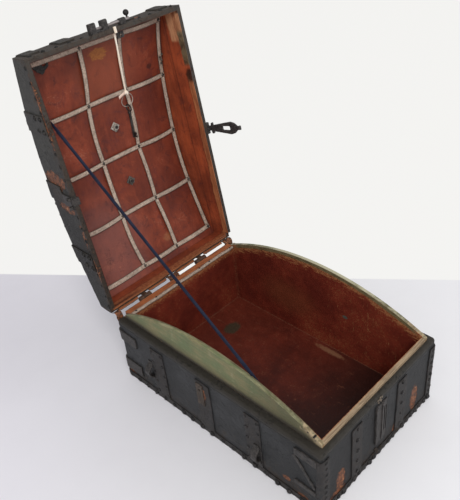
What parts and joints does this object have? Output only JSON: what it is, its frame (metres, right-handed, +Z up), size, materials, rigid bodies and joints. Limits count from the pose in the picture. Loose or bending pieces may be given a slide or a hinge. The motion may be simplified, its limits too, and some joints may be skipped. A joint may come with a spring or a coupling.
{
  "type": "travel box",
  "caption": "Leather-covered wooden travel box with a domed lid hinged on the short side, arched inner walls, tape lattice, hasp, bolt and carrying handle.",
  "frame": {"origin": "centre of the underside of the body, on the surface that the box stands on", "axes": "+Z up, +X right seen from the front, -Y the front short side with the lock plate, +Y the hinge side"},
  "size_m": [0.3031, 0.5427, 0.5397],
  "materials": {
    "outer_leather": "worn black",
    "bare_wood": "bare, worn",
    "oxblood_paint": "painted, semi-gloss",
    "green_cloth": "faded cloth",
    "grey_tape": "woven tape",
    "black_iron": "forged, rusty",
    "grey_iron": "dull",
    "cream_ribbon": "cotton ribbon",
    "blue_ribbon": "silk ribbon"
  },
  "bodies": {
    "body": {"bottom_board": "bare_wood", "bottom_leather": "outer_leather", "front_board": "bare_wood", "back_board": "bare_wood", "left_side_board": "bare_wood", "right_side_board": "bare_wood", "left_arch_facing": "green_cloth", "right_arch_facing": "green_cloth", "body_leather": "outer_leather", "floor_lining": "oxblood_paint", "end_linings": "oxblood_paint", "side_linings": "oxblood_paint", "back_rim_tape": "grey_tape", "left_wall_straps": "outer_leather", "right_wall_straps": "outer_leather", "front_wall_straps": "outer_leather", "front_corner_straps": "outer_leather", "corner_irons": "black_iron", "bottom_band": "black_iron", "bottom_nails": "black_iron", "strap_nails": "black_iron", "lock_plate": "black_iron", "wall_loops": "black_iron", "catch_remains": "black_iron", "hasp_staple": "black_iron", "body_hinge_leaves": "black_iron", "hinge_pins": "black_iron", "hinge_flaps": "outer_leather"},
    "lid": {"lid_top_board": "bare_wood", "lid_front_board": "bare_wood", "lid_back_board": "bare_wood", "lid_left_board": "bare_wood", "lid_right_board": "bare_wood", "lid_leather": "outer_leather", "lid_panel": "oxblood_paint", "lid_wall_linings": "oxblood_paint", "lid_cross_straps": "outer_leather", "lid_long_straps": "outer_leather", "lid_nails": "black_iron", "lid_hinge_leaves": "black_iron", "tape_lattice": "grey_tape", "lattice_nails": "black_iron", "torn_bracket": "grey_iron", "handle_lugs": "black_iron", "handle_washers": "grey_iron", "handle_nuts": "grey_iron", "hasp_mount": "black_iron", "hasp_pin": "black_iron", "broken_hasp": "black_iron", "bolt_catch": "black_iron", "bolt_keeper": "black_iron", "latch_plate": "black_iron", "cream_ribbon": "cream_ribbon", "key_ring": "grey_iron", "key": "black_iron", "stay_ribbon": "blue_ribbon"},
    "side_hasp": {"side_hasp": "black_iron"},
    "front_bolt": {"front_bolt": "black_iron"},
    "handle": {"handle": "black_iron"}
  },
  "joints": [
    {"name": "lid_hinge", "type": "hinge", "parent": "body", "child": "lid", "pos_m": [0, 0.206, 0.12], "axis": [-1, 0, 0], "range_deg": [-98.58, 0], "deforming": ["stay_ribbon"]},
    {"name": "side_hasp_hinge", "type": "hinge", "parent": "lid", "child": "side_hasp", "pos_m": [0.1385, 0.23923, 0.32686], "axis": [0, -0.1492, -0.9888], "range_deg": [-155, 13]},
    {"name": "front_bolt_slide", "type": "slide", "parent": "lid", "child": "front_bolt", "axis": [1, 0, 0], "range_m": [0, 0.018]},
    {"name": "handle_hinge", "type": "hinge", "parent": "lid", "child": "handle", "pos_m": [0.0065, 0.32338, 0.31416], "axis": [0, -0.1492, -0.9888], "range_deg": [0, 180]}
  ]
}
